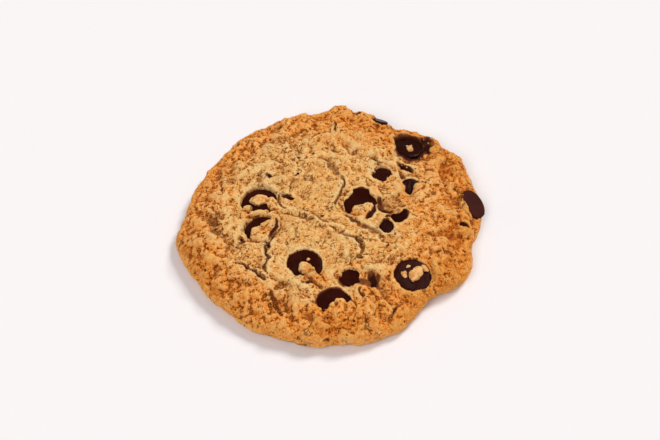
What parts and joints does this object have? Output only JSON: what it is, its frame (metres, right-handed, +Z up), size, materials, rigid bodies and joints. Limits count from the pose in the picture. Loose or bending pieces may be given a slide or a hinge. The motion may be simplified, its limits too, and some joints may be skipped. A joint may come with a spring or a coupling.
{
  "type": "chocolate chip cookie",
  "caption": "Round soft-baked cookie with a lobed outline, a domed crumbly top, a flat underside and dark chocolate chips seated in its surface.",
  "frame": {"origin": "on the table surface, at the middle of the cookie's bounding box", "axes": "+Z up out of the domed top, +X to the side that carries the chip on the rim, +Y to the back"},
  "size_m": [0.0851, 0.0848, 0.0098],
  "materials": {
    "baked_dough": "matte, crumbly baked dough, pale golden on top and browner at the rim",
    "chocolate": "dark chocolate with a soft gloss"
  },
  "bodies": {
    "root": {"dough": "baked_dough", "chip_left_upper": "chocolate", "chip_left_lower": "chocolate", "chip_front_left": "chocolate", "chip_front_middle": "chocolate", "chip_front_small": "chocolate", "chip_front_right": "chocolate", "chip_centre": "chocolate", "chip_centre_right": "chocolate", "chip_centre_sliver": "chocolate", "chip_back_middle": "chocolate", "chip_right_upper": "chocolate", "chip_back_right": "chocolate", "chip_back_right_small": "chocolate", "chip_back_edge": "chocolate", "chip_right_edge": "chocolate"}
  },
  "joints": []
}
